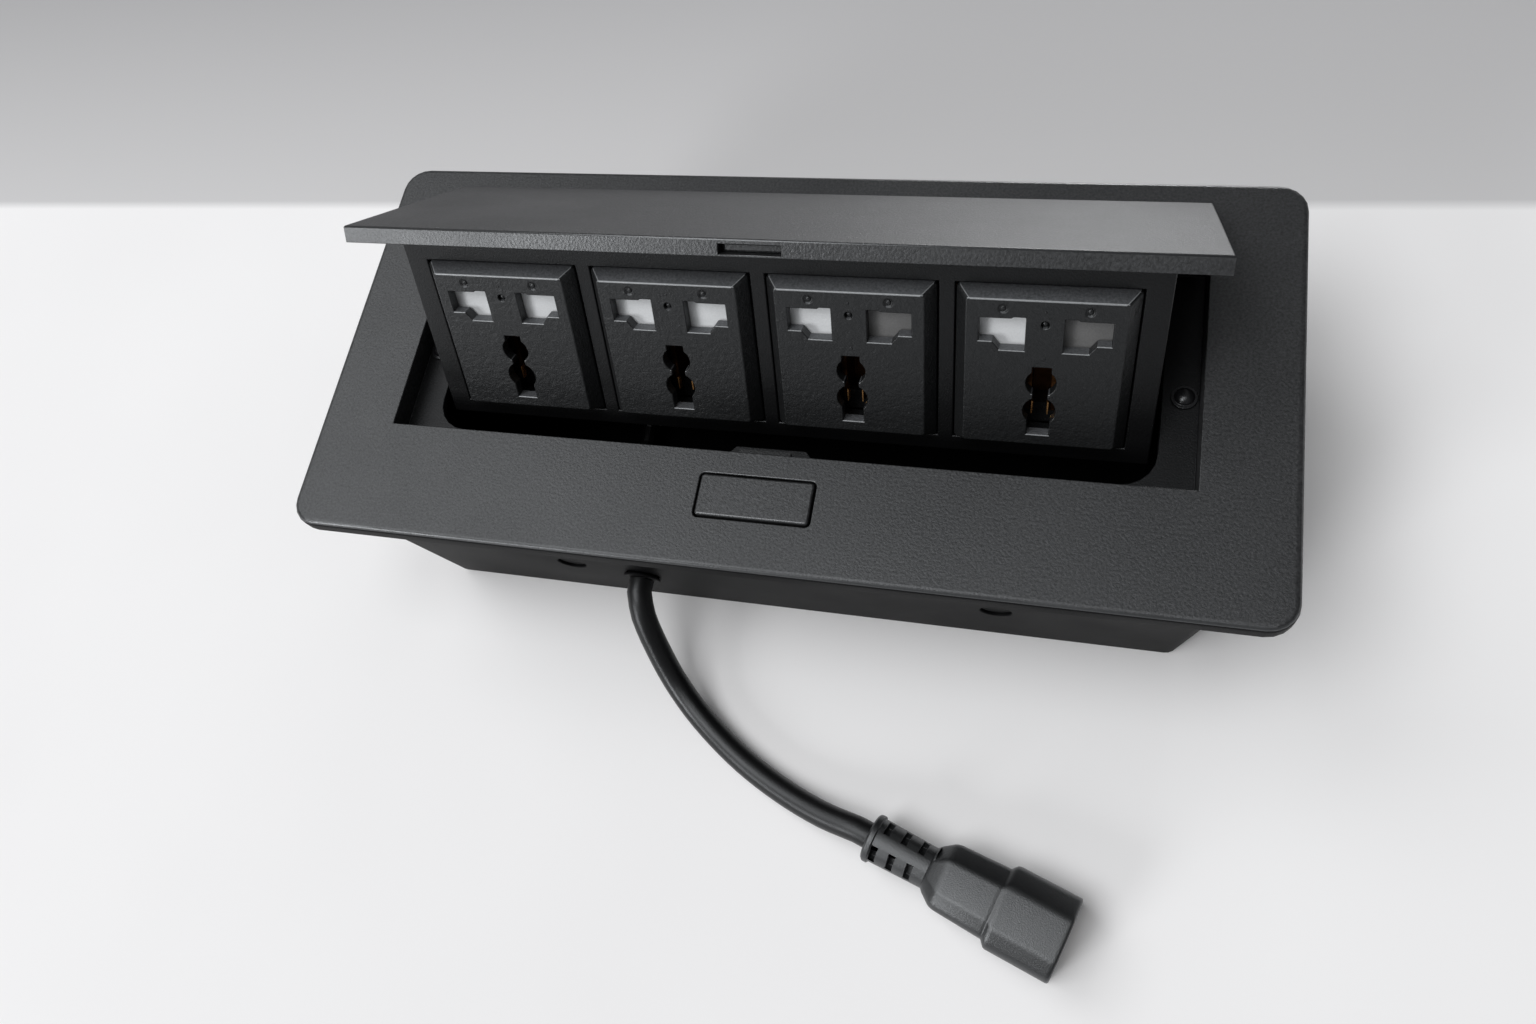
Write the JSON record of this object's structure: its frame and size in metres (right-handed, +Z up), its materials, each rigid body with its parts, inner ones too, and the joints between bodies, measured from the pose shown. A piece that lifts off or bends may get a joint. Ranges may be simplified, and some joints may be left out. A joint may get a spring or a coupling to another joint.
{
  "type": "pop-up desk socket box",
  "caption": "Flush desk panel over a tub, with a sprung lid that tilts up a row of shuttered sockets, a release button and a short lead with an inlet plug.",
  "frame": {"origin": "centre of the panel in plan, on the plane under the tub", "axes": "+X along the panel, +Y towards the lid's hinge, +Z up"},
  "size_m": [0.266, 0.2048, 0.1113],
  "materials": {
    "panel_charcoal": "fine speckled satin",
    "shell_black": "satin moulded",
    "socket_black": "fine texture",
    "shutter_white": "satin",
    "brass": "stamped",
    "steel": "plain",
    "cord_black": "soft satin",
    "plug_grey": "satin moulded",
    "terminal_plastic": "plain"
  },
  "bodies": {
    "housing": {"housing": "shell_black", "top_frame": "panel_charcoal", "release_bracket": "shell_black", "button_spring_left": "steel", "button_spring_right": "steel", "latch_spring": "steel", "torsion_spring_left": "steel", "torsion_spring_right": "steel", "pivot_pin_left": "steel", "pivot_pin_right": "steel", "frame_screw_left": "steel", "frame_screw_right": "steel", "knockout_plug_left": "shell_black", "knockout_plug_right": "shell_black", "cord_gland": "shell_black", "terminal_block": "terminal_plastic", "inner_lead": "cord_black", "jumper_lead": "cord_black", "power_cord": "cord_black", "plug_overmould": "plug_grey", "plug_shroud": "plug_grey", "plug_line_pin": "brass", "plug_neutral_pin": "brass", "plug_earth_pin": "brass"},
    "carrier": {"socket_carrier": "shell_black", "lid": "panel_charcoal", "rear_cover": "shell_black", "socket_face_1": "socket_black", "socket_face_2": "socket_black", "socket_face_3": "socket_black", "socket_face_4": "socket_black", "socket_back_1": "socket_black", "socket_back_2": "socket_black", "socket_back_3": "socket_black", "socket_back_4": "socket_black", "line_contact_1": "brass", "neutral_contact_1": "brass", "earth_contact_1": "brass", "line_contact_2": "brass", "neutral_contact_2": "brass", "earth_contact_2": "brass", "line_contact_3": "brass", "neutral_contact_3": "brass", "earth_contact_3": "brass", "line_contact_4": "brass", "neutral_contact_4": "brass", "earth_contact_4": "brass", "line_busbar": "brass", "neutral_busbar": "brass", "earth_busbar": "brass"},
    "button": {"release_button": "panel_charcoal"},
    "latch": {"latch": "shell_black"},
    "shutter_1": {"shutter_1": "shutter_white"},
    "shutter_2": {"shutter_2": "shutter_white"},
    "shutter_3": {"shutter_3": "shutter_white"},
    "shutter_4": {"shutter_4": "shutter_white"}
  },
  "joints": [
    {"name": "lid_flip", "type": "hinge", "parent": "housing", "child": "carrier", "pos_m": [0, 0.0479, 0.04554], "axis": [1, 0, 0], "range_deg": [0, 43.4], "stiffness_Nm_per_rad": 0.16, "springref_deg": -85.94, "deforming": ["torsion_spring_left", "torsion_spring_right", "jumper_lead"]},
    {"name": "button_press", "type": "slide", "parent": "housing", "child": "button", "axis": [0, 0, -1], "range_m": [0, 0.002], "stiffness_N_per_m": 300, "springref_m": -0.002, "deforming": ["button_spring_left", "button_spring_right"]},
    {"name": "latch_slide", "type": "slide", "parent": "housing", "child": "latch", "axis": [0, -1, 0], "range_m": [0, 0.002], "stiffness_N_per_m": 150, "springref_m": -0.001, "deforming": ["latch_spring"]},
    {"name": "shutter_1_slide", "type": "slide", "parent": "carrier", "child": "shutter_1", "axis": [0, -0.4833, -0.8755], "range_m": [0, 0.0096], "stiffness_N_per_m": 40, "springref_m": -0.002},
    {"name": "shutter_2_slide", "type": "slide", "parent": "carrier", "child": "shutter_2", "axis": [0, -0.4833, -0.8755], "range_m": [0, 0.0096], "stiffness_N_per_m": 40, "springref_m": -0.002},
    {"name": "shutter_3_slide", "type": "slide", "parent": "carrier", "child": "shutter_3", "axis": [0, -0.4833, -0.8755], "range_m": [0, 0.0096], "stiffness_N_per_m": 40, "springref_m": -0.002},
    {"name": "shutter_4_slide", "type": "slide", "parent": "carrier", "child": "shutter_4", "axis": [0, -0.4833, -0.8755], "range_m": [0, 0.0096], "stiffness_N_per_m": 40, "springref_m": -0.002}
  ],
  "couplings": [
    {"joint": "latch_slide", "follows": "button_press", "ratio": 1}
  ]
}
